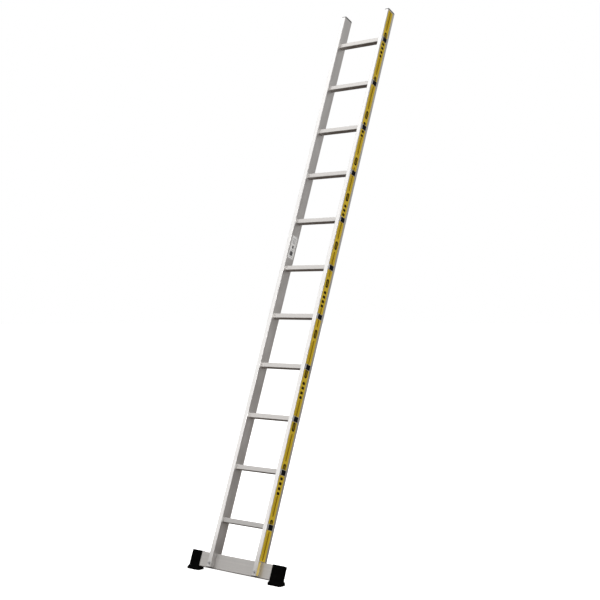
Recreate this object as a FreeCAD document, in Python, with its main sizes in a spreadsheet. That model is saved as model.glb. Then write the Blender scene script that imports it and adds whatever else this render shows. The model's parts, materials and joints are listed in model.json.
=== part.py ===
import FreeCAD, Part
import math
import os
import Sketcher

# A single-section aluminium ladder with a stabiliser bar at its foot, leaning at its working angle.
# Row frame: +Z up, X across the ladder, the climber's side faces -Y, soles on Z = 0.
# Each piece is drawn in the ladder's own frame (X across, Y from front to back, Z along the
# stiles, Z = 0 at the centre of the lowest rung, Y = 0 at the stiles' front faces) and is then
# tipped back by LeanAngle.

# (alias, value in mm or degrees, what it sets)
SIZES = [
    ("LeanAngle", 21, "lean back from the vertical, degrees"),
    ("RungCount", 11, "number of rungs"),
    ("RungPitch", 280, "rung to rung along the stile"),
    ("InsideWidth", 280, "clear width between the stiles"),
    ("StileThick", 24, "stile section across the ladder"),
    ("StileDepth", 68, "stile section front to back"),
    ("StileWeb", 1.6, "wall of the stile's wide sides"),
    ("StileFace", 2.4, "wall of the stile's narrow faces"),
    ("StileCorner", 3.5, "outer corner radius of the stile"),
    ("StileFoot", 246, "lowest rung centre to the stile's lower end"),
    ("StileHead", 185, "top rung centre to the stile's upper end"),
    ("RungSeat", 31, "stile's front face to the rung's centre line"),
    ("RungDepth", 32, "rung section front to back"),
    ("RungHeight", 26, "rung section along the stile"),
    ("RungWall", 1.6, "rung wall"),
    ("RungCorner", 3.5, "outer corner radius of the rung"),
    ("RungFit", 0.1, "gap round the rung in the stile's holes"),
    ("RimProud", 1.0, "flared rim of the rung outside the stile"),
    ("RimFlare", 1.2, "how far the rim and bead stand out round the rung"),
    ("BeadWidth", 3, "width of the pressed bead inside the stile"),
    ("TreadGrooves", 6, "anti-slip grooves in the tread"),
    ("TreadPitch", 3.6, "groove to groove"),
    ("TreadGap", 1.6, "width of one groove"),
    ("TreadCut", 0.7, "depth of one groove"),
    ("PlugLength", 14, "length of a rung end plug"),
    ("PlugWall", 1.8, "wall of a rung end plug"),
    ("PlugFit", 0.1, "gap round the plug in the rung"),
    ("PlugFlange", 1, "flange of a plug over the rung's end"),
    ("CapRise", 10, "stile's top cap above the stile"),
    ("CapRound", 9.5, "rounding of the top cap, front and back"),
    ("CapSide", 2, "rounding of the top cap's two sides"),
    ("CapInsert", 18, "part of the top cap inside the stile"),
    ("CapFit", 0.2, "gap round plastic inserts in the stile"),
    ("EndPlate", 2.5, "plate of the stile's bottom plug"),
    ("EndRise", 12, "bottom plug above the bar's top"),
    ("BarDrop", 174, "lowest rung centre to the bar's top"),
    ("BarHeight", 77, "bar section along the stile"),
    ("BarDepth", 28, "bar section front to back"),
    ("BarWall", 2, "bar wall"),
    ("BarCorner", 4, "outer corner radius of the bar"),
    ("BarLength", 600, "length of the bar"),
    ("BarSeat", 26, "stile's front face to the bar's front face"),
    ("NotchGap", 0.5, "gap above the bar in the stile's notch"),
    ("BoltRise", 24, "bar's lower edge to the bolt"),
    ("BoltRadius", 4, "M8 bolt"),
    ("BoltGap", 0.3, "radial gap in the bolt holes"),
    ("HeadRadius", 7, "bolt head"),
    ("HeadTall", 4.5, "bolt head"),
    ("DriveAcross", 5, "hexagon socket, across flats"),
    ("DriveDeep", 2.6, "hexagon socket depth"),
    ("WasherRadius", 8.5, "washer"),
    ("WasherThick", 1.6, "washer"),
    ("NutAcross", 13, "M8 nut, across flats"),
    ("NutTall", 6.5, "M8 nut"),
    ("NutFit", 0.05, "radial gap between nut and thread"),
    ("BoltTail", 3, "thread past the nut"),
    ("FootWall", 2, "wall of the foot's sleeve"),
    ("FootEnd", 4, "end wall of the foot"),
    ("FootGrip", 62, "length of the bar inside a foot"),
    ("FootFit", 0.2, "gap round the bar in a foot"),
    ("FootCorner", 5, "outer corner radius of the foot's sleeve"),
    ("FootRaise", 10.5, "bar's lowest edge above the floor"),
    ("SoleThick", 10, "edge of the sole"),
    ("SoleRise", 23, "height of the flare above the floor"),
    ("SoleSide", 10, "flare past the foot's outer end"),
    ("SoleInner", 7, "flare past the foot's inner end"),
    ("SoleFront", 9.5, "flare in front of the sleeve"),
    ("SoleBack", 7, "flare behind the sleeve"),
    ("SoleCorner", 9, "corner radius of the sole"),
    ("SoleGrooves", 4, "grooves across the sole"),
    ("SoleGroovePitch", 15, "groove to groove"),
    ("SoleGap", 4, "width of a sole groove"),
    ("SoleCut", 2, "depth of a sole groove"),
    ("FilmThick", 0.3, "printed film on the stiles"),
    ("FilmSeat", 7.5, "stile's front face to the film strips"),
    ("FilmWidth", 43, "width of the film strips"),
    ("FilmClear", 1.3, "rung's flared rim to the end of a strip"),
    ("FilmEnd", 3, "bare metal at the stile's ends"),
    ("FilmCorner", 2, "corner radius of a strip"),
    ("FilmNarrow", 17, "width of the strip in front of the bar"),
    ("FilmInset", 6, "stile's front face to the narrow strip"),
    ("PlateHigh", 132, "rating label along the stile"),
    ("PlateWide", 44, "rating label front to back"),
    ("PlateRise", 128, "label centre above the rung below it"),
    ("PlateRung", 5, "rungs between the label and the lowest rung"),
]

doc = FreeCAD.newDocument("ladder")
sheet = doc.addObject("Spreadsheet::Sheet", "Sizes")
for row, (alias, amount, note) in enumerate(SIZES, start=1):
    sheet.set(f"A{row}", alias)
    sheet.set(f"B{row}", str(amount))
    sheet.setAlias(f"B{row}", alias)
    sheet.set(f"C{row}", note)
doc.recompute()

# Places that several pieces share, as expressions on the sheet.
RUNG_SPAN = "(Sizes.InsideWidth + 2 * Sizes.StileThick)"
STILE_X = "(Sizes.InsideWidth / 2 + Sizes.StileThick / 2)"
STILE_OUT = "(Sizes.InsideWidth / 2 + Sizes.StileThick)"
STILE_LENGTH = "(Sizes.StileFoot + Sizes.StileHead + (Sizes.RungCount - 1) * Sizes.RungPitch)"
STILE_TOP = "(Sizes.StileHead + (Sizes.RungCount - 1) * Sizes.RungPitch)"
BAR_Z = "(-Sizes.BarDrop - Sizes.BarHeight / 2)"
BAR_Y = "(Sizes.BarSeat + Sizes.BarDepth / 2)"
BAR_BACK = "(Sizes.BarSeat + Sizes.BarDepth)"
BOLT_Z = "(-Sizes.BarDrop - Sizes.BarHeight + Sizes.BoltRise)"
FOOT_IN = "(Sizes.BarLength / 2 - Sizes.FootGrip)"
FOOT_OUT = "(Sizes.BarLength / 2 + Sizes.FootEnd)"
SLEEVE_HIGH = "(Sizes.BarHeight + 2 * Sizes.FootWall)"
SLEEVE_DEEP = "(Sizes.BarDepth + 2 * Sizes.FootWall)"
FILM_GAP = "(Sizes.RungHeight / 2 + Sizes.RimFlare + Sizes.FilmClear)"


def value(expression):
    """The number that an expression on the sheet comes to."""
    return float(sheet.evalExpression(expression))


def neg(expression):
    return f"-({expression})"


# ---- sketches --------------------------------------------------------------------------------

def plane_of(body, role):
    for feature in body.Origin.OriginFeatures:
        if feature.Role == role:
            return feature


def new_sketch(body, name, plane, lift=None):
    """A sketch on one of the body's own planes, lifted along its normal.

    XY_Plane: sketch x, y are X, Y and the normal is +Z. XZ_Plane: X, Z and -Y.
    YZ_Plane: Y, Z and +X.
    """
    sketch = body.newObject("Sketcher::SketchObject", name)
    sketch.AttachmentSupport = [(plane_of(body, plane), "")]
    sketch.MapMode = "FlatFace"
    if lift is not None:
        sketch.setExpression("AttachmentOffset.Base.z", lift)
    return sketch


def bind(sketch, kind, geometry, point, expression):
    """Hold one coordinate of a point to an expression."""
    index = sketch.addConstraint(
        Sketcher.Constraint(kind, -1, 1, geometry, point, value(expression)))
    sketch.setExpression(f"Constraints[{index}]", expression)


def add_rectangle(sketch, centre_x, centre_y, width, height):
    """A sharp rectangle whose centre and sides are expressions."""
    x0, x1 = f"{centre_x} - {width} / 2", f"{centre_x} + {width} / 2"
    y0, y1 = f"{centre_y} - {height} / 2", f"{centre_y} + {height} / 2"
    corners = [(x0, y0), (x1, y0), (x1, y1), (x0, y1)]
    points = [FreeCAD.Vector(value(x), value(y), 0) for x, y in corners]
    first = sketch.GeometryCount
    for i in range(4):
        sketch.addGeometry(Part.LineSegment(points[i], points[(i + 1) % 4]), False)
    for i in range(4):
        sketch.addConstraint(
            Sketcher.Constraint("Coincident", first + i, 2, first + (i + 1) % 4, 1))
        direction = "Horizontal" if i % 2 == 0 else "Vertical"
        sketch.addConstraint(Sketcher.Constraint(direction, first + i))
    bind(sketch, "DistanceX", first, 1, x0)
    bind(sketch, "DistanceY", first, 1, y0)
    bind(sketch, "DistanceX", first + 2, 1, x1)
    bind(sketch, "DistanceY", first + 2, 1, y1)


def add_rounded(sketch, centre_x, centre_y, width, height, radius):
    """A rectangle with round corners; all five sizes are expressions."""
    x0, x1 = f"{centre_x} - {width} / 2 + {radius}", f"{centre_x} + {width} / 2 - {radius}"
    y0, y1 = f"{centre_y} - {height} / 2 + {radius}", f"{centre_y} + {height} / 2 - {radius}"
    r = value(radius)
    centres = [(value(x1), value(y0)), (value(x1), value(y1)),
               (value(x0), value(y1)), (value(x0), value(y0))]
    first = sketch.GeometryCount
    # Side i leads to corner i; corner i turns from start to start + 90 degrees.
    for i, (cx, cy) in enumerate(centres):
        px, py = centres[i - 1]
        start = math.radians(-90 + 90 * i)
        out = FreeCAD.Vector(math.cos(start) * r, math.sin(start) * r, 0)
        side = Part.LineSegment(FreeCAD.Vector(px, py, 0) + out, FreeCAD.Vector(cx, cy, 0) + out)
        circle = Part.Circle(FreeCAD.Vector(cx, cy, 0), FreeCAD.Vector(0, 0, 1), r)
        sketch.addGeometry(side, False)
        sketch.addGeometry(Part.ArcOfCircle(circle, start, start + math.pi / 2), False)
    for i in range(4):
        side = first + 2 * i
        corner = side + 1
        following = first + (2 * i + 2) % 8
        sketch.addConstraint(Sketcher.Constraint("Tangent", side, 2, corner, 1))
        sketch.addConstraint(Sketcher.Constraint("Tangent", corner, 2, following, 1))
        direction = "Horizontal" if i % 2 == 0 else "Vertical"
        sketch.addConstraint(Sketcher.Constraint(direction, side))
    for i in range(1, 4):
        sketch.addConstraint(Sketcher.Constraint("Equal", first + 1, first + 2 * i + 1))
    size = sketch.addConstraint(Sketcher.Constraint("Radius", first + 1, r))
    sketch.setExpression(f"Constraints[{size}]", radius)
    bind(sketch, "DistanceX", first + 7, 3, x0)
    bind(sketch, "DistanceY", first + 7, 3, y0)
    bind(sketch, "DistanceX", first + 3, 3, x1)
    bind(sketch, "DistanceY", first + 3, 3, y1)


def add_circle(sketch, centre_x, centre_y, radius):
    centre = FreeCAD.Vector(value(centre_x), value(centre_y), 0)
    circle = Part.Circle(centre, FreeCAD.Vector(0, 0, 1), value(radius))
    index = sketch.addGeometry(circle, False)
    bind(sketch, "DistanceX", index, 3, centre_x)
    bind(sketch, "DistanceY", index, 3, centre_y)
    size = sketch.addConstraint(Sketcher.Constraint("Radius", index, value(radius)))
    sketch.setExpression(f"Constraints[{size}]", radius)


def add_hexagon(sketch, centre_x, centre_y, across):
    """A regular hexagon: six equal sides with their corners on a bound circle."""
    radius = f"{across} / sqrt(3)"
    add_circle(sketch, centre_x, centre_y, radius)
    ring = sketch.GeometryCount - 1
    sketch.setConstruction(ring, True)
    cx, cy, r = value(centre_x), value(centre_y), value(radius)
    corners = [FreeCAD.Vector(cx + r * math.cos(math.radians(60 * i)),
                              cy + r * math.sin(math.radians(60 * i)), 0) for i in range(6)]
    first = sketch.GeometryCount
    for i in range(6):
        sketch.addGeometry(Part.LineSegment(corners[i], corners[(i + 1) % 6]), False)
    for i in range(6):
        sketch.addConstraint(
            Sketcher.Constraint("Coincident", first + i, 2, first + (i + 1) % 6, 1))
        sketch.addConstraint(Sketcher.Constraint("PointOnObject", first + i, 1, ring))
    for i in range(1, 6):
        sketch.addConstraint(Sketcher.Constraint("Equal", first, first + i))
    bind(sketch, "DistanceY", first, 1, centre_y)


# ---- features --------------------------------------------------------------------------------

NEARLY = 0.001
bodies = []


def new_body(label):
    body = doc.addObject("PartDesign::Body", label)
    body.Label = label
    bodies.append(body)
    return body


def extrude(body, kind, name, sketch, length, symmetric=False, reverse=False):
    """A Pad or Pocket of a sketch; its length is an expression."""
    before = body.Shape.Volume if body.Tip else 0
    feature = body.newObject(f"PartDesign::{kind}", name)
    feature.Profile = sketch
    feature.Type = "Length"
    feature.SideType = "Symmetric" if symmetric else "One side"
    feature.Reversed = reverse
    feature.setExpression("Length", length)
    body.Tip = feature
    doc.recompute()
    grown = body.Shape.Volume - before
    if (grown <= 0) == (kind == "Pad"):
        raise RuntimeError(f"{body.Label}: {name} changed the volume by {grown:.3f} mm3")
    return feature


def pad(body, name, sketch, length, **options):
    return extrude(body, "Pad", name, sketch, length, **options)


def pocket(body, name, sketch, length, **options):
    return extrude(body, "Pocket", name, sketch, length, **options)


def repeat(body, name, originals, direction, spacing, count):
    """A linear pattern along a sketch axis, a fixed spacing apart."""
    pattern = body.newObject("PartDesign::LinearPattern", name)
    pattern.Originals = originals
    pattern.Direction = direction
    pattern.Mode = "Spacing"
    pattern.setExpression("Offset", spacing)
    pattern.setExpression("Occurrences", count)
    body.Tip = pattern
    doc.recompute()
    return pattern


def mirror(body, name, originals, plane):
    twin = body.newObject("PartDesign::Mirrored", name)
    twin.Originals = originals
    twin.MirrorPlane = (plane_of(body, plane), [""])
    body.Tip = twin
    doc.recompute()
    return twin


def round_sides(body, name, feature, radius):
    """Rounds the edges of a feature's two X-facing sides, apart from those at its bottom."""
    bottom = feature.Shape.BoundBox.ZMin
    edges = [f"Edge{i}" for i, edge in enumerate(feature.Shape.Edges, start=1)
             if edge.BoundBox.XLength < NEARLY and edge.BoundBox.ZMax > bottom + NEARLY]
    rounding = body.newObject("PartDesign::Fillet", name)
    rounding.Base = (feature, edges)
    rounding.setExpression("Radius", radius)
    body.Tip = rounding
    doc.recompute()


# ---- placing ---------------------------------------------------------------------------------

LEAN = math.radians(value("Sizes.LeanAngle"))


def upright(y, z):
    """Ladder-frame y, z turned into the level frame, before the shift onto the floor."""
    level_y = y * math.cos(LEAN) + z * math.sin(LEAN)
    level_z = z * math.cos(LEAN) - y * math.sin(LEAN)
    return level_y, level_z


def floor_shift():
    """Moves the ladder so that its soles are on Z = 0 and its box is centred on the Z axis."""
    bar_low = upright(value(BAR_BACK), value("-Sizes.BarDrop - Sizes.BarHeight"))[1]
    front = upright(0, -value("Sizes.StileFoot + Sizes.EndPlate"))[0]
    back = value("Sizes.CapRound") + upright(
        value("Sizes.StileDepth - Sizes.CapRound"),
        value(f"{STILE_TOP} + Sizes.CapRise - Sizes.CapRound"))[0]
    return FreeCAD.Vector(0, -(front + back) / 2, value("Sizes.FootRaise") - bar_low)


SHIFT = floor_shift()
LEANING = FreeCAD.Rotation(FreeCAD.Vector(1, 0, 0), -math.degrees(LEAN))


def place(body, x="0", y="0", z="0", turn=0):
    """Puts a body at a ladder-frame point; turn swings it about its own Z first."""
    local = FreeCAD.Vector(value(x), value(y), value(z))
    spin = FreeCAD.Rotation(FreeCAD.Vector(0, 0, 1), turn)
    body.Placement = FreeCAD.Placement(SHIFT + LEANING.multVec(local), LEANING.multiply(spin))


# ---- stiles and what closes them -------------------------------------------------------------

def make_stile(label, side):
    """Box extrusion with a hole for every rung and a notch at the back for the bar."""
    body = new_body(label)
    section = new_sketch(body, "section", "XY_Plane", "-Sizes.StileFoot")
    add_rounded(section, "0", "Sizes.StileDepth / 2", "Sizes.StileThick", "Sizes.StileDepth",
                "Sizes.StileCorner")
    add_rounded(section, "0", "Sizes.StileDepth / 2", "(Sizes.StileThick - 2 * Sizes.StileWeb)",
                "(Sizes.StileDepth - 2 * Sizes.StileFace)", "(Sizes.StileCorner - Sizes.StileWeb)")
    pad(body, "extrusion", section, STILE_LENGTH)

    hole = new_sketch(body, "rung_hole", "YZ_Plane")
    add_rounded(hole, "Sizes.RungSeat", "0", "(Sizes.RungDepth + 2 * Sizes.RungFit)",
                "(Sizes.RungHeight + 2 * Sizes.RungFit)", "(Sizes.RungCorner + Sizes.RungFit)")
    cut = pocket(body, "rung_hole_cut", hole, "2 * Sizes.StileThick", symmetric=True)
    repeat(body, "rung_holes", [cut], (hole, ["V_Axis"]), "Sizes.RungPitch", "Sizes.RungCount")

    notch = new_sketch(body, "bar_notch", "YZ_Plane")
    notch_top = "(-Sizes.BarDrop + Sizes.NotchGap)"
    notch_high = f"({notch_top} + Sizes.StileFoot + Sizes.EndPlate)"
    add_rectangle(notch, "(Sizes.BarSeat + Sizes.StileDepth / 2)",
                  f"({notch_top} - {notch_high} / 2)", "Sizes.StileDepth", notch_high)
    pocket(body, "bar_notch_cut", notch, "2 * Sizes.StileThick", symmetric=True)

    bolt_hole = new_sketch(body, "bolt_hole", "XZ_Plane")
    add_circle(bolt_hole, "0", BOLT_Z, "(Sizes.BoltRadius + Sizes.BoltGap)")
    pocket(body, "bolt_hole_cut", bolt_hole, "Sizes.StileDepth")
    place(body, x=f"{side} * {STILE_X}")
    return body


def make_top_cap(label, side):
    """Arched cap over the stile's upper end, with a hollow insert inside the tube."""
    body = new_body(label)
    arch = new_sketch(body, "arch", "YZ_Plane")
    add_rounded(arch, "Sizes.StileDepth / 2", "0", "Sizes.StileDepth", "2 * Sizes.CapRise",
                "Sizes.CapRound")
    pad(body, "arch_pad", arch, "Sizes.StileThick", symmetric=True)
    lower_half = new_sketch(body, "lower_half", "XY_Plane")
    add_rectangle(lower_half, "0", "Sizes.StileDepth / 2", "2 * Sizes.StileThick",
                  "2 * Sizes.StileDepth")
    flat = pocket(body, "lower_half_cut", lower_half, "2 * Sizes.CapRise")
    round_sides(body, "rounding", flat, "Sizes.CapSide")
    insert = new_sketch(body, "insert", "XY_Plane")
    wide = "(Sizes.StileThick - 2 * Sizes.StileWeb - 2 * Sizes.CapFit)"
    deep = "(Sizes.StileDepth - 2 * Sizes.StileFace - 2 * Sizes.CapFit)"
    add_rounded(insert, "0", "Sizes.StileDepth / 2", wide, deep,
                "(Sizes.StileCorner - Sizes.StileWeb)")
    add_rounded(insert, "0", "Sizes.StileDepth / 2", f"({wide} - 2 * Sizes.PlugWall)",
                f"({deep} - 2 * Sizes.PlugWall)", "(Sizes.StileCorner - Sizes.StileWeb)")
    pad(body, "insert_pad", insert, "Sizes.CapInsert", reverse=True)
    place(body, x=f"{side} * {STILE_X}", z=STILE_TOP)
    return body


def make_bottom_plug(label, side):
    """Block in the stile's lower end: it closes the end and backs the bar behind the bolt."""
    body = new_body(label)
    wide = "(Sizes.StileThick - 2 * Sizes.StileWeb - 2 * Sizes.CapFit)"
    front = "(Sizes.StileFace + Sizes.CapFit)"
    high = "(Sizes.StileFoot - Sizes.BarDrop + Sizes.EndRise)"
    block = new_sketch(body, "block", "XY_Plane")
    add_rounded(block, "0", f"(({front} + Sizes.BarSeat) / 2)", wide,
                f"(Sizes.BarSeat - {front})", "(Sizes.StileCorner - Sizes.StileWeb)")
    pad(body, "block_pad", block, high)
    plate = new_sketch(body, "plate", "XY_Plane")
    add_rounded(plate, "0", "Sizes.BarSeat / 2", "Sizes.StileThick", "Sizes.BarSeat",
                "Sizes.EndPlate")
    pad(body, "plate_pad", plate, "Sizes.EndPlate", reverse=True)
    hole = new_sketch(body, "bolt_hole", "XZ_Plane")
    add_circle(hole, "0", f"({BOLT_Z} + Sizes.StileFoot)", "(Sizes.BoltRadius + Sizes.BoltGap)")
    pocket(body, "bolt_hole_cut", hole, "Sizes.StileDepth")
    place(body, x=f"{side} * {STILE_X}", z="-Sizes.StileFoot")
    return body


# ---- rungs -----------------------------------------------------------------------------------

def make_rung(number):
    """Square tube through both stiles, with a tread, a pressed bead and a flared rim."""
    body = new_body(f"rung_{number:02d}")
    section = new_sketch(body, "section", "YZ_Plane")
    bore_radius = "(Sizes.RungCorner - Sizes.RungWall)"
    bore = ("(Sizes.RungDepth - 2 * Sizes.RungWall)", "(Sizes.RungHeight - 2 * Sizes.RungWall)")
    add_rounded(section, "0", "0", "Sizes.RungDepth", "Sizes.RungHeight", "Sizes.RungCorner")
    add_rounded(section, "0", "0", *bore, bore_radius)
    pad(body, "tube", section, f"{RUNG_SPAN} + 2 * Sizes.RimProud", symmetric=True)

    collars = []
    for name, start, width in (
            ("bead", "(Sizes.InsideWidth / 2 - Sizes.BeadWidth)", "Sizes.BeadWidth"),
            ("rim", STILE_OUT, "Sizes.RimProud")):
        ring = new_sketch(body, name, "YZ_Plane", start)
        add_rounded(ring, "0", "0", "(Sizes.RungDepth + 2 * Sizes.RimFlare)",
                    "(Sizes.RungHeight + 2 * Sizes.RimFlare)", "(Sizes.RungCorner + Sizes.RimFlare)")
        add_rounded(ring, "0", "0", *bore, bore_radius)
        collars.append(pad(body, f"{name}_pad", ring, width))
    mirror(body, "collars", collars, "YZ_Plane")

    groove = new_sketch(body, "groove", "YZ_Plane")
    first_groove = "(-(Sizes.TreadGrooves - 1) * Sizes.TreadPitch / 2)"
    add_rectangle(groove, first_groove, "Sizes.RungHeight / 2", "Sizes.TreadGap",
                  "2 * Sizes.TreadCut")
    cut = pocket(body, "groove_cut", groove, "Sizes.InsideWidth - 2 * Sizes.BeadWidth",
                 symmetric=True)
    repeat(body, "tread", [cut], (groove, ["H_Axis"]), "Sizes.TreadPitch", "Sizes.TreadGrooves")
    place(body, y="Sizes.RungSeat", z=f"{number - 1} * Sizes.RungPitch")
    return body


def make_rung_plugs(label, side):
    """The hollow, flanged plugs that close the rungs on one side, one for each rung."""
    body = new_body(label)
    deep = "(Sizes.RungDepth - 2 * Sizes.RungWall - 2 * Sizes.PlugFit)"
    high = "(Sizes.RungHeight - 2 * Sizes.RungWall - 2 * Sizes.PlugFit)"
    corner = "(Sizes.RungCorner - Sizes.RungWall)"
    outline = new_sketch(body, "outline", "YZ_Plane")
    add_rounded(outline, "0", "0", deep, high, corner)
    plug = pad(body, "plug", outline, "Sizes.PlugLength")
    cover = new_sketch(body, "cover", "YZ_Plane", "Sizes.PlugLength")
    add_rounded(cover, "0", "0", "Sizes.RungDepth", "Sizes.RungHeight", "Sizes.RungCorner")
    flange = pad(body, "flange", cover, "Sizes.PlugFlange")
    inside = new_sketch(body, "inside", "YZ_Plane")
    add_rectangle(inside, "0", "0", f"({deep} - 2 * Sizes.PlugWall)",
                  f"({high} - 2 * Sizes.PlugWall)")
    hollow = pocket(body, "hollow", inside, "Sizes.PlugLength - Sizes.PlugWall", reverse=True)
    repeat(body, "plugs", [plug, flange, hollow], (outline, ["V_Axis"]), "Sizes.RungPitch",
           "Sizes.RungCount")
    start = f"({STILE_OUT} + Sizes.RimProud - Sizes.PlugLength)"
    place(body, x=f"{side} * {start}", y="Sizes.RungSeat", turn=0 if side > 0 else 180)
    return body


# ---- stabiliser bar --------------------------------------------------------------------------

def make_bar():
    """Box tube behind the stiles' lower ends, drilled for its two bolts."""
    body = new_body("stabiliser_bar")
    section = new_sketch(body, "section", "YZ_Plane")
    add_rounded(section, "0", "0", "Sizes.BarDepth", "Sizes.BarHeight", "Sizes.BarCorner")
    add_rounded(section, "0", "0", "(Sizes.BarDepth - 2 * Sizes.BarWall)",
                "(Sizes.BarHeight - 2 * Sizes.BarWall)", "(Sizes.BarCorner - Sizes.BarWall)")
    pad(body, "tube", section, "Sizes.BarLength", symmetric=True)
    holes = new_sketch(body, "bolt_holes", "XZ_Plane")
    for side in (-1, 1):
        add_circle(holes, f"{side} * {STILE_X}", f"({BOLT_Z} - {BAR_Z})",
                   "(Sizes.BoltRadius + Sizes.BoltGap)")
    pocket(body, "bolt_holes_cut", holes, "2 * Sizes.BarDepth", symmetric=True)
    place(body, y=BAR_Y, z=BAR_Z)
    return body


def make_foot(label, side):
    """Moulded cap on the bar's end: a sleeve that flares into a sole, level on the floor."""
    body = new_body(label)
    near = FOOT_IN if side > 0 else neg(FOOT_OUT)
    middle = f"({side} * ({FOOT_IN} + {FOOT_OUT}) / 2)"
    sleeve = new_sketch(body, "sleeve", "YZ_Plane", near)
    add_rounded(sleeve, "0", "0", SLEEVE_DEEP, SLEEVE_HIGH, "Sizes.FootCorner")
    pad(body, "sleeve_pad", sleeve, f"{FOOT_OUT} - {FOOT_IN}")

    # Level sketches: x across, y level from the bar's centre line, at a height above the floor.
    rise = value("Sizes.FootRaise") + (value("Sizes.BarHeight") / 2 * math.cos(LEAN)
                                       + value("Sizes.BarDepth") / 2 * math.sin(LEAN))
    level = FreeCAD.Rotation(FreeCAD.Vector(1, 0, 0), math.degrees(LEAN))

    def level_sketch(name, height):
        sketch = new_sketch(body, name, "XY_Plane")
        centre = level.multVec(FreeCAD.Vector(0, 0, height - rise))
        sketch.AttachmentOffset = FreeCAD.Placement(centre, level)
        return sketch

    deep, high = value(SLEEVE_DEEP) / 2, value(SLEEVE_HIGH) / 2
    sole_front = f"({upright(-deep, -high)[0]} - Sizes.SoleFront)"
    sole_back = f"({upright(deep, -high)[0]} + Sizes.SoleBack)"
    sole_in = f"({FOOT_IN} - Sizes.SoleInner)"
    sole_out = f"({FOOT_OUT} + Sizes.SoleSide)"
    sole_x = f"({side} * ({sole_in} + {sole_out}) / 2)"
    sole_y = f"(({sole_front} + {sole_back}) / 2)"
    sole_box = (sole_x, sole_y, f"({sole_out} - {sole_in})", f"({sole_back} - {sole_front})",
                "Sizes.SoleCorner")
    sole = level_sketch("sole", 0)
    add_rounded(sole, *sole_box)
    pad(body, "sole_pad", sole, "Sizes.SoleThick")

    # The flare narrows from the sole to the sleeve's own level section.
    neck = value("Sizes.SoleRise")
    flare_low = level_sketch("flare_low", value("Sizes.SoleThick"))
    add_rounded(flare_low, *sole_box)
    flare_high = level_sketch("flare_high", neck)
    add_rounded(flare_high, middle, f"({(neck - rise) * math.tan(LEAN)})",
                f"({FOOT_OUT} - {FOOT_IN})", f"({SLEEVE_DEEP} / {math.cos(LEAN)})",
                "Sizes.FootCorner")
    flare = body.newObject("PartDesign::AdditiveLoft", "flare")
    flare.Profile = flare_low
    flare.Sections = [flare_high]
    flare.Ruled = True
    body.Tip = flare
    doc.recompute()

    socket = new_sketch(body, "socket", "YZ_Plane", f"{side} * {sole_in}")
    add_rounded(socket, "0", "0", "(Sizes.BarDepth + 2 * Sizes.FootFit)",
                "(Sizes.BarHeight + 2 * Sizes.FootFit)", "(Sizes.BarCorner + Sizes.FootFit)")
    pocket(body, "socket_cut", socket, "Sizes.FootGrip + Sizes.SoleInner", reverse=side > 0)

    groove = level_sketch("groove", 0)
    first_groove = f"({sole_x} - (Sizes.SoleGrooves - 1) * Sizes.SoleGroovePitch / 2)"
    add_rectangle(groove, first_groove, sole_y, "Sizes.SoleGap",
                  f"(2 * ({sole_back} - {sole_front}))")
    cut = pocket(body, "groove_cut", groove, "Sizes.SoleCut", reverse=True)
    repeat(body, "sole_grooves", [cut], (groove, ["H_Axis"]), "Sizes.SoleGroovePitch",
           "Sizes.SoleGrooves")
    place(body, y=BAR_Y, z=BAR_Z)
    return body


# ---- fasteners: one body holds the left and the right one --------------------------------------

def make_bolts():
    """Button-head bolts from the stiles' front faces through the plugs and the bar."""
    body = new_body("bar_bolts")
    shank = new_sketch(body, "shank", "XZ_Plane")
    add_circle(shank, STILE_X, "0", "Sizes.BoltRadius")
    reach = f"{BAR_BACK} + 2 * Sizes.WasherThick + Sizes.NutTall + Sizes.BoltTail"
    shank_pad = pad(body, "shank_pad", shank, reach, reverse=True)
    head = new_sketch(body, "head", "XZ_Plane")
    add_circle(head, STILE_X, "0", "Sizes.HeadRadius")
    head_pad = pad(body, "head_pad", head, "Sizes.HeadTall")
    drive = new_sketch(body, "drive", "XZ_Plane", "Sizes.HeadTall")
    add_hexagon(drive, STILE_X, "0", "Sizes.DriveAcross")
    drive_cut = pocket(body, "drive_cut", drive, "Sizes.DriveDeep")
    mirror(body, "pair", [shank_pad, head_pad, drive_cut], "YZ_Plane")
    place(body, y="-Sizes.WasherThick", z=BOLT_Z)
    return body


def make_washers():
    """One washer under each head and one under each nut."""
    body = new_body("bar_washers")
    rings = []
    for name, lift in (("front", "Sizes.WasherThick"), ("back", neg(BAR_BACK))):
        ring = new_sketch(body, name, "XZ_Plane", lift)
        add_circle(ring, STILE_X, "0", "Sizes.WasherRadius")
        add_circle(ring, STILE_X, "0", "(Sizes.BoltRadius + Sizes.BoltGap)")
        rings.append(pad(body, f"{name}_pad", ring, "Sizes.WasherThick", reverse=True))
    mirror(body, "pair", rings, "YZ_Plane")
    place(body, z=BOLT_Z)
    return body


def make_nuts():
    body = new_body("bar_nuts")
    nut = new_sketch(body, "nut", "XZ_Plane", neg(f"{BAR_BACK} + Sizes.WasherThick"))
    add_hexagon(nut, STILE_X, "0", "Sizes.NutAcross")
    add_circle(nut, STILE_X, "0", "(Sizes.BoltRadius + Sizes.NutFit)")
    nut_pad = pad(body, "nut_pad", nut, "Sizes.NutTall", reverse=True)
    mirror(body, "pair", [nut_pad], "YZ_Plane")
    place(body, z=BOLT_Z)
    return body


# ---- printed films -----------------------------------------------------------------------------

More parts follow.
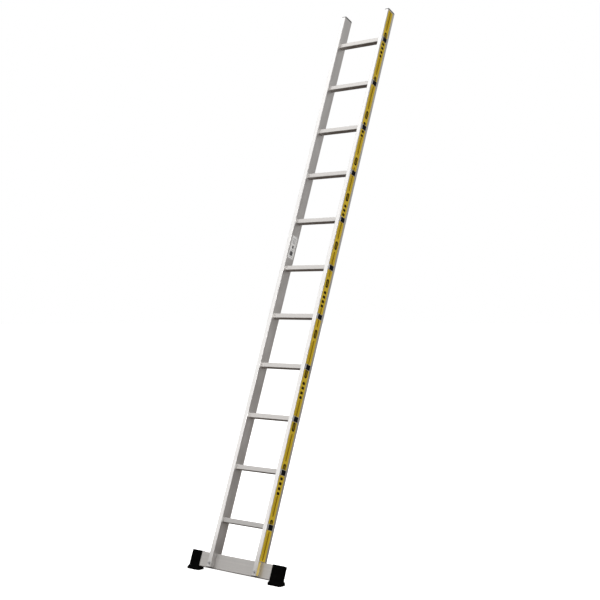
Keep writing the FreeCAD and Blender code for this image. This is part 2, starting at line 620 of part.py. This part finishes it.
def make_film(label, side):
    """Film strips on a stile's outer face: one for each bay, cut back round the rungs."""
    body = new_body(label)
    middle = "(Sizes.FilmSeat + Sizes.FilmWidth / 2)"
    start = STILE_OUT if side > 0 else f"(-{STILE_OUT} - Sizes.FilmThick)"

    bay = new_sketch(body, "bay", "YZ_Plane", start)
    add_rounded(bay, middle, "(Sizes.RungPitch / 2)", "Sizes.FilmWidth",
                f"(Sizes.RungPitch - 2 * {FILM_GAP})", "Sizes.FilmCorner")
    bay_pad = pad(body, "bay_pad", bay, "Sizes.FilmThick")
    repeat(body, "bays", [bay_pad], (bay, ["V_Axis"]), "Sizes.RungPitch", "(Sizes.RungCount - 1)")

    ends = new_sketch(body, "ends", "YZ_Plane", start)
    top_low = f"((Sizes.RungCount - 1) * Sizes.RungPitch + {FILM_GAP})"
    top_high = f"({STILE_TOP} - Sizes.FilmEnd)"
    add_rounded(ends, middle, f"(({top_low} + {top_high}) / 2)", "Sizes.FilmWidth",
                f"({top_high} - {top_low})", "Sizes.FilmCorner")
    foot_low = "(-Sizes.BarDrop + Sizes.FilmEnd)"
    add_rounded(ends, middle, f"(({foot_low} - {FILM_GAP}) / 2)", "Sizes.FilmWidth",
                f"(-{FILM_GAP} - {foot_low})", "Sizes.FilmCorner")
    toe_low = "(-Sizes.StileFoot + Sizes.FilmEnd)"
    add_rounded(ends, "(Sizes.FilmInset + Sizes.FilmNarrow / 2)",
                f"(({toe_low} + {foot_low} - 2 * Sizes.FilmCorner) / 2)", "Sizes.FilmNarrow",
                f"({foot_low} - 2 * Sizes.FilmCorner - {toe_low})", "Sizes.FilmCorner")
    pad(body, "ends_pad", ends, "Sizes.FilmThick")
    place(body)
    return body


def make_rating_label():
    """Plain label on the left stile's inner side."""
    body = new_body("rating_label")
    label = new_sketch(body, "outline", "YZ_Plane", "-Sizes.InsideWidth / 2")
    add_rounded(label, "(Sizes.StileDepth / 2)", "0", "Sizes.PlateWide", "Sizes.PlateHigh",
                "Sizes.FilmCorner")
    pad(body, "film", label, "Sizes.FilmThick")
    place(body, z="Sizes.PlateRung * Sizes.RungPitch + Sizes.PlateRise")
    return body


for side, name in ((-1, "left"), (1, "right")):
    make_stile(f"{name}_stile", side)
    make_top_cap(f"{name}_top_cap", side)
    make_bottom_plug(f"{name}_bottom_plug", side)
    make_rung_plugs(f"{name}_rung_plugs", side)
    make_foot(f"{name}_foot", side)
    make_film(f"{name}_stile_film", side)
for number in range(1, int(value("Sizes.RungCount")) + 1):
    make_rung(number)
make_bar()
make_bolts()
make_washers()
make_nuts()
make_rating_label()
doc.recompute()

# ---- checks and files ----------------------------------------------------------------------------

for item in doc.Objects:
    if "Invalid" in item.State or "Error" in item.State:
        raise RuntimeError(f"{item.Name} did not build: {item.State}")
for body in bodies:
    if body.Shape.isNull() or not body.Shape.isValid():
        raise RuntimeError(f"{body.Label} has no valid shape")

os.makedirs("parts", exist_ok=True)
for body in bodies:
    body.Shape.exportStep(f"parts/{body.Label}.step")
    print(f"{body.Label:22s} {len(body.Shape.Solids):3d} solids {body.Shape.Volume:12.0f} mm3")
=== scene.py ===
"""Looks of a leaning aluminium ladder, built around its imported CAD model.

Places on the ladder are in the ladder's own frame, in metres: x across, y from the stiles' front
faces to their backs, z up the stiles from the lowest rung's centre.
"""

import json
import math

import bmesh
import bpy
from mathutils import Matrix, Vector


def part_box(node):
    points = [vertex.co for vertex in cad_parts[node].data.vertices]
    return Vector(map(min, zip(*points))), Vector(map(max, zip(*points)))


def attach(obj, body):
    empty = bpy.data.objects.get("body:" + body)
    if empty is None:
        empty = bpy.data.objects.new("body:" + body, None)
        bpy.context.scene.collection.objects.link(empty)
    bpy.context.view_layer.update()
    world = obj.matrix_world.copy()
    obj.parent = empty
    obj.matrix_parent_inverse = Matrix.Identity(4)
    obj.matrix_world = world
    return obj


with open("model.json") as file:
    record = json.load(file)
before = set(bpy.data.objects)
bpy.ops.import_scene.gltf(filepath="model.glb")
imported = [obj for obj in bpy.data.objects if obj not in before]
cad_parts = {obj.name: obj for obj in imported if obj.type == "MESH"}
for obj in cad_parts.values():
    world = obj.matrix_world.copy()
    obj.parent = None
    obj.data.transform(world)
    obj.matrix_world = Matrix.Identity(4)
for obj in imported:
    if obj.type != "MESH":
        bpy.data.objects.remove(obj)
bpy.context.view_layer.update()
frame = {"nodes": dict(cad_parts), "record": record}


# ---- the ladder's own frame, read off the CAD model ----------------------------------------------

def centre(node):
    low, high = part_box(node)
    return (low + high) / 2


RUNGS = sorted(name for name in frame["nodes"] if name.startswith("rung_"))
SPAN = centre(RUNGS[-1]) - centre(RUNGS[0])
PITCH = SPAN.length / (len(RUNGS) - 1)
LEAN = math.atan2(SPAN.y, SPAN.z)
UPRIGHT = Matrix.Rotation(LEAN, 3, "X")


def find_origin():
    """The point of the stiles' front plane that lies square in front of the lowest rung's centre."""
    stile = frame["nodes"]["right_stile"].data
    front = min((UPRIGHT @ vertex.co).y for vertex in stile.vertices)
    return UPRIGHT.inverted() @ Vector((0, front, (UPRIGHT @ centre(RUNGS[0])).z))


ORIGIN = find_origin()
TO_ROW = Matrix.Translation(ORIGIN) @ Matrix.Rotation(-LEAN, 4, "X")


# ---- shader helpers ------------------------------------------------------------------------------

# Sockets of the Mix node that carry colours.
FIRST_COLOUR = 6
SECOND_COLOUR = 7
MIXED_COLOUR = 2

# How well a rounded normal agrees with the true one: on a flat face, and on a worn edge.
AGREES_ON_FACE = 0.995
AGREES_ON_EDGE = 0.85
BEVEL_SAMPLES = 4
NOISE_ROUGHNESS = 0.55


class Shader:
    """A material around one Principled shader, with short calls that add and wire nodes."""

    def __init__(self, name):
        self.material = bpy.data.materials.new(name)
        self.material.use_nodes = True
        self.nodes = self.material.node_tree.nodes
        self.links = self.material.node_tree.links
        self.nodes.clear()
        self.surface = self.nodes.new("ShaderNodeBsdfPrincipled")
        output = self.nodes.new("ShaderNodeOutputMaterial")
        self.links.new(self.surface.outputs["BSDF"], output.inputs["Surface"])

    def feed(self, socket, value):
        """A number or colour is set on the socket itself; another node's socket is linked to it."""
        if isinstance(value, bpy.types.NodeSocket):
            self.links.new(value, socket)
        else:
            socket.default_value = value

    def set(self, **values):
        """Sets or links the Principled shader's inputs; an underscore stands for a space."""
        for name, value in values.items():
            self.feed(self.surface.inputs[name.replace("_", " ")], value)

    def math(self, operation, *values, clamp=False):
        node = self.nodes.new("ShaderNodeMath")
        node.operation = operation
        node.use_clamp = clamp
        for socket, value in zip(node.inputs, values):
            self.feed(socket, value)
        return node.outputs[0]

    def total(self, *terms):
        """The sum of pairs of a value and its weight."""
        weighted = [self.math("MULTIPLY", value, weight) for value, weight in terms]
        total = weighted[0]
        for term in weighted[1:]:
            total = self.math("ADD", total, term)
        return total

    def scale(self, value, low, high, to_low, to_high):
        """value mapped from low..high to to_low..to_high, held at both ends."""
        node = self.nodes.new("ShaderNodeMapRange")
        for socket, number in zip(node.inputs, (value, low, high, to_low, to_high)):
            self.feed(socket, number)
        return node.outputs[0]

    def mix(self, share, first, second):
        node = self.nodes.new("ShaderNodeMix")
        node.data_type = "RGBA"
        self.feed(node.inputs["Factor"], share)
        self.feed(node.inputs[FIRST_COLOUR], first)
        self.feed(node.inputs[SECOND_COLOUR], second)
        return node.outputs[MIXED_COLOUR]

    def place(self, grain=(1, 1, 1)):
        """Place in the ladder's frame, divided by a grain size along each axis."""
        coordinates = self.nodes.new("ShaderNodeTexCoord").outputs["Object"]
        node = self.nodes.new("ShaderNodeMapping")
        node.vector_type = "TEXTURE"
        node.inputs["Location"].default_value = ORIGIN
        node.inputs["Rotation"].default_value = (-LEAN, 0, 0)
        node.inputs["Scale"].default_value = grain
        self.feed(node.inputs["Vector"], coordinates)
        return node.outputs[0]

    def height(self):
        """Height up the stiles from the lowest rung's centre, in metres."""
        node = self.nodes.new("ShaderNodeSeparateXYZ")
        self.feed(node.inputs[0], self.place())
        return node.outputs["Z"]

    def noise(self, grain, detail=3):
        """Noise from 0 to 1 whose grain is a size in metres along x, y and z."""
        node = self.nodes.new("ShaderNodeTexNoise")
        node.inputs["Scale"].default_value = 1
        node.inputs["Detail"].default_value = detail
        node.inputs["Roughness"].default_value = NOISE_ROUGHNESS
        self.feed(node.inputs["Vector"], self.place(grain))
        return node.outputs["Fac"]

    def rounded_normal(self, radius):
        node = self.nodes.new("ShaderNodeBevel")
        node.samples = BEVEL_SAMPLES
        node.inputs["Radius"].default_value = radius
        return node.outputs[0]

    def edges(self, radius):
        """0 on flat faces, rising to 1 on edges sharper than a radius."""
        dot = self.nodes.new("ShaderNodeVectorMath")
        dot.operation = "DOT_PRODUCT"
        self.feed(dot.inputs[0], self.rounded_normal(radius))
        self.feed(dot.inputs[1], self.nodes.new("ShaderNodeNewGeometry").outputs["Normal"])
        return self.scale(dot.outputs["Value"], AGREES_ON_FACE, AGREES_ON_EDGE, 0, 1)

    def bump(self, height, distance, strength, round_edges=None):
        """Relief of a height from 0 to 1 times a distance in metres, over softly rounded edges."""
        node = self.nodes.new("ShaderNodeBump")
        node.inputs["Strength"].default_value = strength
        node.inputs["Distance"].default_value = distance
        self.feed(node.inputs["Height"], height)
        if round_edges:
            self.feed(node.inputs["Normal"], self.rounded_normal(round_edges))
        self.feed(self.surface.inputs["Normal"], node.outputs[0])


def grey(level, warmth=0.0):
    return (level * (1 + warmth), level, level * (1 - warmth), 1)


# ---- materials -----------------------------------------------------------------------------------

def drawn_grain(fine, long, along):
    """Grain that is fine across and long along one axis, as a die draws it."""
    grain = [fine] * 3
    grain["xyz".index(along)] = long
    return grain


def aluminium(name, bright, dark, along, roughness, painted_foot_shade=None):
    """Mill-finish extrusion: die lines along one axis, cloudy oxide, fine scratches, rubbed edges.

    painted_foot_shade: painted shade, darker towards the foot: (height where it starts, height where it
    is full, share, colour), deepening downwards.
    """
    metal = Shader(name)
    lines = metal.noise(drawn_grain(0.0006, 0.7, along), detail=2)
    bands = metal.noise(drawn_grain(0.004, 1.6, along), detail=2)
    cloud = metal.noise((0.05, 0.05, 0.11), detail=4)
    speck = metal.noise((0.0016, 0.0016, 0.0016), detail=2)
    scratch = metal.scale(metal.noise((0.004, 0.0009, 0.03), detail=1), 0.66, 0.72, 0, 1)
    rubbed = metal.edges(0.0009)

    tone = metal.total((lines, 0.35), (bands, 0.3), (cloud, 0.35))
    tone = metal.scale(tone, 0.36, 0.62, 0, 1)
    tone = metal.math("SUBTRACT", tone, metal.math("MULTIPLY", scratch, 0.25), clamp=True)
    tone = metal.math("MAXIMUM", tone, metal.math("MULTIPLY", rubbed, 0.9))
    colour = metal.mix(tone, dark, bright)
    # Painted shade: the colour is darkened towards the foot.
    if painted_foot_shade:
        start, full, share, foot_shade_colour = painted_foot_shade
        colour = metal.mix(metal.scale(metal.height(), start, full, 0, share), colour, foot_shade_colour)
    wear = metal.total((cloud, 0.6), (speck, 0.4))
    metal.set(Base_Color=colour, Metallic=0.92, IOR=1.45,
              Roughness=metal.scale(wear, 0.3, 0.7, roughness - 0.06, roughness + 0.08))
    metal.bump(metal.total((lines, 1.0), (speck, 0.3)), 0.00006, 0.6, round_edges=0.0004)
    return metal.material


def moulded(name, colour, dust, roughness, shine=0.5):
    """Moulded rubber or plastic: fine spark-eroded grain, a little dust, paler rubbed edges."""
    moulding = Shader(name)
    skin = moulding.noise((0.0005, 0.0005, 0.0005), detail=2)
    cloud = moulding.noise((0.02, 0.02, 0.02), detail=4)
    rubbed = moulding.math("MULTIPLY", moulding.edges(0.0012), 0.55)
    share = moulding.math("MAXIMUM", moulding.scale(cloud, 0.45, 0.75, 0.0, 0.5), rubbed)
    moulding.set(Base_Color=moulding.mix(share, colour, dust), IOR=1.5, Specular_IOR_Level=shine,
                 Roughness=moulding.scale(cloud, 0.3, 0.7, roughness - 0.05, roughness + 0.08))
    moulding.bump(skin, 0.00008, 0.5, round_edges=0.0008)
    return moulding.material


def zinc_steel():
    """Zinc plate: small spangles, brighter on its edges."""
    steel = Shader("zinc_plated_steel")
    spangle = steel.noise((0.0012, 0.0012, 0.0012), detail=3)
    rubbed = steel.math("MULTIPLY", steel.edges(0.0006), 0.6)
    colour = steel.mix(steel.scale(spangle, 0.35, 0.65, 0, 1),
                       (0.38, 0.38, 0.40, 1), (0.62, 0.61, 0.60, 1))
    steel.set(Base_Color=steel.mix(rubbed, colour, grey(0.8)), Metallic=1.0,
              Roughness=steel.scale(spangle, 0.3, 0.7, 0.28, 0.45))
    steel.bump(spangle, 0.00004, 0.5, round_edges=0.0003)
    return steel.material


FILM_YELLOW = (0.71, 0.51, 0.042, 1)
FILM_DEEP = (0.60, 0.42, 0.028, 1)
# Painted light for the film's lower part.
FILM_PAINTED_LIGHT = (0.76, 0.54, 0.042, 1)
FILM_PALE = (0.84, 0.66, 0.24, 1)
FILM_SHINE = 0.12
FILM_IOR = 1.46


def yellow_film():
    """Printed vinyl: ripples of the metal under it, faint rub marks, and painted light that makes it
    paler towards the foot.
    """
    film = Shader("yellow_printed_film")
    cloud = film.noise((0.02, 0.012, 0.07), detail=4)
    streak = film.noise((0.003, 0.0015, 0.25), detail=3)
    rub = film.scale(film.noise((0.01, 0.002, 0.02), detail=2), 0.62, 0.72, 0, 0.35)
    tone = film.scale(film.total((cloud, 0.5), (streak, 0.5)), 0.38, 0.62, 0, 1)
    height = film.height()
    colour = film.mix(tone, FILM_DEEP, FILM_YELLOW)
    # Painted light: paler towards the foot, palest at the very foot by the bar.
    colour = film.mix(film.scale(height, 0.35, -0.1, 0, 0.55), colour, FILM_PAINTED_LIGHT)
    colour = film.mix(film.scale(height, -0.17, -0.185, 0, 0.8), colour, FILM_PALE)
    colour = film.mix(rub, colour, FILM_PALE)
    film.set(Base_Color=colour, Roughness=film.scale(cloud, 0.3, 0.7, 0.42, 0.58), IOR=FILM_IOR,
             Specular_IOR_Level=FILM_SHINE)
    film.bump(streak, 0.00006, 0.5)
    return film.material


def label_film():
    """Pale label stock, slightly mottled."""
    film = Shader("pale_label_film")
    cloud = film.noise((0.012, 0.012, 0.02), detail=4)
    mottle = film.scale(cloud, 0.35, 0.65, 0, 1)
    film.set(Base_Color=film.mix(mottle, (0.80, 0.80, 0.79, 1), (0.90, 0.90, 0.89, 1)),
             Roughness=film.scale(cloud, 0.3, 0.7, 0.35, 0.5), IOR=FILM_IOR)
    film.bump(cloud, 0.0001, 0.4)
    return film.material


def ink(name, colour, faded):
    """Printing ink on a film, a little worn."""
    coat = Shader(name)
    worn = coat.noise((0.002, 0.001, 0.004), detail=4)
    coat.set(Base_Color=coat.mix(coat.scale(worn, 0.5, 0.72, 0, 0.8), colour, faded),
             Roughness=coat.scale(worn, 0.3, 0.7, 0.42, 0.56), IOR=FILM_IOR,
             Specular_IOR_Level=FILM_SHINE)
    coat.bump(worn, 0.00002, 0.4)
    return coat.material


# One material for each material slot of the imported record.
MATERIALS = {
    # Painted shade on the stiles: darker below the lowest rung, down towards the bar.
    "stile_aluminium": aluminium("stile_extrusion", grey(0.92, 0.012), grey(0.80, 0.015), "z", 0.42,
                                 painted_foot_shade=(-0.06, -0.205, 0.70, grey(0.45, 0.03))),
    # Painted shade on the rungs: darker from about 0.45 m down to the lowest rung.
    "rung_aluminium": aluminium("rung_extrusion", grey(0.66, 0.03), grey(0.57, 0.03), "x", 0.40,
                                painted_foot_shade=(0.45, -0.01, 0.55, grey(0.36, 0.02))),
    "bar_aluminium": aluminium("bar_extrusion", grey(0.56, 0.03), grey(0.48, 0.03), "x", 0.5),
    "steel": zinc_steel(),
    "black_rubber": moulded("black_rubber", grey(0.0015), grey(0.006, 0.05), 0.85, shine=0.03),
    "black_plastic": moulded("black_plastic", grey(0.003), grey(0.010), 0.6, shine=0.12),
    "grey_plastic": moulded("grey_plastic", grey(0.15, 0.01), grey(0.24), 0.45),
    "yellow_film": yellow_film(),
    "white_film": label_film(),
}

INKS = {
    "black": ink("black_ink", (0.020, 0.012, 0.001, 1), (0.06, 0.04, 0.004, 1)),
    "olive": ink("olive_ink", (0.20, 0.13, 0.003, 1), (0.30, 0.20, 0.006, 1)),
    "ochre": ink("ochre_ink", (0.26, 0.150, 0.001, 1), (0.36, 0.23, 0.006, 1)),
    "grey": ink("grey_ink", (0.11, 0.11, 0.115, 1), (0.2, 0.2, 0.2, 1)),
}


def dress_nodes():
    """Gives every CAD node the material of its slot."""
    slots = {part["node"]: part["material_slot"] for part in frame["record"]["subparts"]}
    for name, node in frame["nodes"].items():
        node.data.materials.clear()
        node.data.materials.append(MATERIALS[slots[name]])


# ---- shapes of ink -------------------------------------------------------------------------------

INK_THICK = 0.00005                               # of one coat
CORNER_STEPS = 6
QUARTER_TURN = math.radians(90)


def rounded_outline(y, z, wide, tall, radius):
    """Corner points of a rounded rectangle round a middle, in the plane of a stile's side."""
    radius = min(radius, wide / 2, tall / 2)
    points = []
    for corner, (side_y, side_z) in enumerate(((1, 1), (-1, 1), (-1, -1), (1, -1))):
        for step in range(CORNER_STEPS + 1):
            angle = QUARTER_TURN * (corner + step / CORNER_STEPS)
            points.append((y + side_y * (wide / 2 - radius) + radius * math.cos(angle),
                           z + side_z * (tall / 2 - radius) + radius * math.sin(angle)))
    return points


def cut_to(points, low, high):
    """The part of a convex outline between two heights, or no points where nothing is left."""
    for sign, limit in ((1, low), (-1, -high)):
        kept = []
        for i, (y, z) in enumerate(points):
            last_y, last_z = points[i - 1]
            inside = sign * z >= limit
            last_inside = sign * last_z >= limit
            if inside != last_inside:
                share = (sign * limit - last_z) / (z - last_z)
                kept.append((last_y + share * (y - last_y), sign * limit))
            if inside:
                kept.append((y, z))
        points = kept
    return points


def add_plate(mesh, points, x_in, x_out):
    """A thin plate with this outline between two x places."""
    low = [mesh.verts.new((x_in, y, z)) for y, z in points]
    high = [mesh.verts.new((x_out, y, z)) for y, z in points]
    mesh.faces.new(high)
    mesh.faces.new(low[::-1])
    for i in range(len(points)):
        j = (i + 1) % len(points)
        mesh.faces.new((low[i], low[j], high[j], high[i]))


def make_print(name, shapes, face_x, side, colour):
    """One piece of ink on a film's face: every outline of a list, as many coats thick as it says."""
    mesh = bmesh.new()
    for coats, points in shapes:
        add_plate(mesh, points, face_x, face_x + side * INK_THICK * coats)
    bmesh.ops.recalc_face_normals(mesh, faces=mesh.faces)
    data = bpy.data.meshes.new(name)
    mesh.to_mesh(data)
    mesh.free()
    data.transform(TO_ROW)
    data.materials.append(INKS[colour])
    piece = bpy.data.objects.new(name, data)
    bpy.context.scene.collection.objects.link(piece)
    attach(piece, "root")


# ---- the films' print ----------------------------------------------------------------------------

# It repeats along the stile without regard to the rungs, and the rungs interrupt it.
REPEAT = 0.504
PHASE = 0.277                                     # height where one of the repeats starts
EMBLEMS = ((0.0, 0.048), (0.218, 0.266))          # start and end within a repeat
LINES = ((0.062, 0.205), (0.282, 0.388))
BLOCKS = (0.399, 0.424, 0.450, 0.475)             # middles within a repeat

EMBLEM_Y = 0.029
EMBLEM_WIDE = 0.023
EMBLEM_CORNER = 0.010
CORE_WIDE = 0.011
CORE_SHORT = 0.018                                # emblem's length less its core's
CORE_CORNER = 0.005
STRONG_LINE_Y = 0.0295
STRONG_LINE_WIDE = 0.0095
STRONG_LINE_CORNER = 0.002
FAINT_LINE_Y = 0.0190
FAINT_LINE_WIDE = 0.0022
FAINT_LINE_SHORT = 0.02                           # strong line's length less the faint one's
FAINT_LINE_CORNER = 0.001
BLOCK_Y = 0.028
BLOCK_WIDE = 0.021
BLOCK_TALL = 0.015
BLOCK_CORNER = 0.004

FILM_CLEAR = 0.0165                               # rung centre to the ink nearest to it
FILM_FOOT = -0.169                                # lowest and highest ink
FILM_TOP = 2.980


def bays():
    """Height ranges of ink between the rungs, foot to head."""
    heights = [i * PITCH for i in range(len(RUNGS))]
    starts = [FILM_FOOT] + [height + FILM_CLEAR for height in heights]
    ends = [height - FILM_CLEAR for height in heights] + [FILM_TOP]
    return zip(starts, ends)


def print_bay(shapes, low, high):
    """Adds what one bay shows of the print to the outlines of each ink colour."""
    def put(colour, coats, y, z, wide, tall, corner):
        points = cut_to(rounded_outline(y, z, wide, tall, corner), low, high)
        if points:
            shapes[colour].append((coats, points))

    first = math.floor((low - PHASE) / REPEAT)
    last = math.floor((high - PHASE) / REPEAT)
    for turn in range(first, last + 1):
        base = PHASE + turn * REPEAT
        for start, end in EMBLEMS:
            z = base + (start + end) / 2
            tall = end - start
            put("black", 1, EMBLEM_Y, z, EMBLEM_WIDE, tall, EMBLEM_CORNER)
            put("olive", 2, EMBLEM_Y, z, CORE_WIDE, tall - CORE_SHORT, CORE_CORNER)
        for start, end in LINES:
            z = base + (start + end) / 2
            tall = end - start
            put("ochre", 1, STRONG_LINE_Y, z, STRONG_LINE_WIDE, tall, STRONG_LINE_CORNER)
            put("ochre", 1, FAINT_LINE_Y, z, FAINT_LINE_WIDE, tall - FAINT_LINE_SHORT, FAINT_LINE_CORNER)
        for z in BLOCKS:
            put("black", 1, BLOCK_Y, base + z, BLOCK_WIDE, BLOCK_TALL, BLOCK_CORNER)


def make_film_prints():
    shapes = {"black": [], "olive": [], "ochre": []}
    for low, high in bays():
        print_bay(shapes, low, high)
    for side, name in ((-1, "left"), (1, "right")):
        low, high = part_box(f"{name}_stile_film")
        face = high.x if side > 0 else low.x
        for colour, outlines in shapes.items():
            make_print(f"{name}_film_{colour}", outlines, face, side, colour)


# ---- the label's print ---------------------------------------------------------------------------

# Places are taken from the label's middle.
LABEL_PANEL = (-0.002, -0.036, 0.024, 0.026, 0.004)       # y, z, width, height and corner
LABEL_SPOT = (-0.001, 0.002, 0.014, 0.016, 0.003)
BAR_TALL = 0.0018
BAR_CORNER = 0.0008
LONG_BAR = 0.030
MIDDLE_BAR = 0.028
SHORT_BAR = 0.026
BAR_COUNT = 5
BAR_STEP = 0.0065
FIRST_BAR_Z = 0.024
PANEL_BAR_Z = -0.016
LOWEST_BAR_Z = -0.0565


def make_label_print():
    """Plain blocks and bars on the rating label, in place of its lettering."""
    middle = UPRIGHT @ (centre("rating_label") - ORIGIN)
    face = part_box("rating_label")[1].x
    shapes = []

    def put(y, z, wide, tall, corner):
        shapes.append((1, rounded_outline(middle.y + y, middle.z + z, wide, tall, corner)))

    put(*LABEL_PANEL)
    put(*LABEL_SPOT)
    for i in range(BAR_COUNT):
        length = SHORT_BAR if i % 2 else LONG_BAR
        put(0, FIRST_BAR_Z + BAR_STEP * i, length, BAR_TALL, BAR_CORNER)
    put(0, LOWEST_BAR_Z, LONG_BAR, BAR_TALL, BAR_CORNER)
    put(0, PANEL_BAR_Z, MIDDLE_BAR, BAR_TALL, BAR_CORNER)
    make_print("rating_label_print", shapes, face, 1, "grey")


# ---- stage, light and camera ---------------------------------------------------------------------

FLOOR_RADIUS = 60.0
SHELL_RADIUS = 0.98 * FLOOR_RADIUS
WHITE = (1, 1, 1, 1)
BLACK = (0, 0, 0, 1)

# Tone of the room by direction, from straight down at 0 to straight up at 1.
ROOM_TONES = (
    (0.0, (0.07, 0.058, 0.050, 1)),
    (0.40, (0.125, 0.106, 0.094, 1)),
    (0.52, (0.26, 0.25, 0.24, 1)),
    (1.0, (0.62, 0.62, 0.62, 1)),
)

LIGHTS_AIM = Vector((0, 0, 1.4))

CAMERA_PLACE = (3.7717, -4.7483, 1.3881)
CAMERA_TURN = math.radians(38.778)                # left of straight ahead
CAMERA_LENS = 67.104                              # millimetres, as is the sensor's width
CAMERA_SENSOR = 36
CAMERA_REACH = 200


def stage_object(name, mesh, material):
    """A stage piece, left out of the metal's reflections and of bounced light."""
    data = bpy.data.meshes.new(name)
    mesh.to_mesh(data)
    mesh.free()
    data.materials.append(material)
    piece = bpy.data.objects.new(name, data)
    bpy.context.scene.collection.objects.link(piece)
    piece.visible_diffuse = False
    piece.visible_glossy = False
    return piece


def make_floor():
    paint = Shader("pale_floor")
    mottle = paint.noise((0.4, 0.4, 0.4), detail=3)
    paint.set(Base_Color=paint.mix(mottle, grey(0.84), grey(0.88)), Roughness=0.9,
              Emission_Color=WHITE, Emission_Strength=0.78)
    mesh = bmesh.new()
    bmesh.ops.create_circle(mesh, cap_ends=True, segments=64, radius=FLOOR_RADIUS)
    stage_object("floor", mesh, paint.material)


def make_backdrop():
    """A pale shell round the stage that only the camera sees."""
    paint = Shader("backdrop")
    paint.set(Base_Color=BLACK, Roughness=1.0, Specular_IOR_Level=0.0,
              Emission_Color=WHITE, Emission_Strength=1.0)
    mesh = bmesh.new()
    bmesh.ops.create_uvsphere(mesh, u_segments=48, v_segments=24, radius=SHELL_RADIUS)
    bmesh.ops.reverse_faces(mesh, faces=mesh.faces)
    piece = stage_object("backdrop", mesh, paint.material)
    piece.visible_shadow = False
    piece.visible_transmission = False


def make_world():
    """Soft grey room, pale above and dim below, for the metal to reflect."""
    world = bpy.data.worlds.new("studio")
    bpy.context.scene.world = world
    world.use_nodes = True
    nodes, links = world.node_tree.nodes, world.node_tree.links
    nodes.clear()
    direction = nodes.new("ShaderNodeTexCoord")
    split = nodes.new("ShaderNodeSeparateXYZ")
    level = nodes.new("ShaderNodeMapRange")
    ramp = nodes.new("ShaderNodeValToRGB")
    background = nodes.new("ShaderNodeBackground")
    output = nodes.new("ShaderNodeOutputWorld")
    level.inputs["From Min"].default_value = -1
    links.new(direction.outputs["Generated"], split.inputs[0])
    links.new(split.outputs["Z"], level.inputs["Value"])
    links.new(level.outputs[0], ramp.inputs["Fac"])
    links.new(ramp.outputs["Color"], background.inputs["Color"])
    links.new(background.outputs[0], output.inputs["Surface"])
    stops = ramp.color_ramp.elements
    while len(stops) < len(ROOM_TONES):
        stops.new(0.5)
    for stop, (place, colour) in zip(stops, ROOM_TONES):
        stop.position = place
        stop.color = colour


def add_softbox(name, direction, distance, size, power):
    """An area light that faces the ladder's middle from a direction and a distance."""
    lamp = bpy.data.lights.new(name, "AREA")
    lamp.shape = "RECTANGLE"
    lamp.size, lamp.size_y = size
    lamp.energy = power
    piece = bpy.data.objects.new(name, lamp)
    bpy.context.scene.collection.objects.link(piece)
    piece.location = LIGHTS_AIM + Vector(direction).normalized() * distance
    piece.rotation_euler = (LIGHTS_AIM - piece.location).to_track_quat("-Z", "Y").to_euler()
    piece.visible_camera = False


def make_lights():
    add_softbox("key", (-0.63, -0.58, 0.52), 9.0, (14.0, 13.0), 400)
    add_softbox("top", (-0.1, -0.1, 1.0), 5.0, (5.0, 5.0), 30)
    add_softbox("back", (-0.55, 0.7, 0.45), 6.0, (4.0, 4.0), 110)
    add_softbox("side", (1.0, -0.35, 0.25), 6.0, (3.0, 4.0), 170)


def make_camera():
    data = bpy.data.cameras.new("camera")
    data.sensor_width = CAMERA_SENSOR
    data.lens = CAMERA_LENS
    data.clip_end = CAMERA_REACH
    camera = bpy.data.objects.new("camera", data)
    camera.location = CAMERA_PLACE
    camera.rotation_euler = (QUARTER_TURN, 0, CAMERA_TURN)
    bpy.context.scene.collection.objects.link(camera)
    bpy.context.scene.camera = camera


dress_nodes()
make_film_prints()
make_label_print()
make_floor()
make_world()
make_backdrop()
make_lights()
make_camera()
bpy.context.scene.view_settings.view_transform = "Standard"
